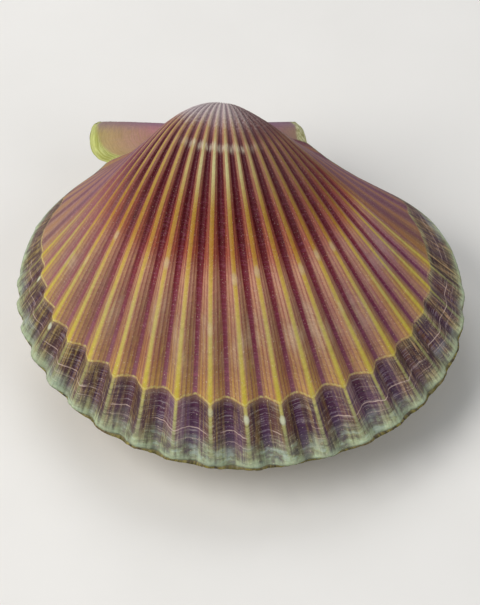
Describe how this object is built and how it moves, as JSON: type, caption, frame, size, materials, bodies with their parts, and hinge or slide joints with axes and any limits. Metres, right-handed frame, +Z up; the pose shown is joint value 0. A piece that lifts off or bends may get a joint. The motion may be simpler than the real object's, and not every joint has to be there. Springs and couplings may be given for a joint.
{
  "type": "scallop shell",
  "caption": "Closed fan-shaped scallop shell with radiating ribs, unequal ears on a straight hinge and interlocking wavy margins, lying on its flatter valve.",
  "frame": {"origin": "centre of the bounding box at floor level", "axes": "+Z up as the shell lies on its lower valve, the hinge and beaks towards +Y, the wavy ventral edge towards -Y, the larger front ear towards -X"},
  "size_m": [0.0776, 0.0774, 0.0317],
  "materials": {
    "upper_valve": "semi-matte shell, wine grooves and golden rib crests",
    "lower_valve": "semi-matte pale shell",
    "ligament": "dark dry horny strip"
  },
  "bodies": {
    "root": {"upper_valve": "upper_valve", "lower_valve": "lower_valve", "ligament": "ligament"}
  },
  "joints": []
}
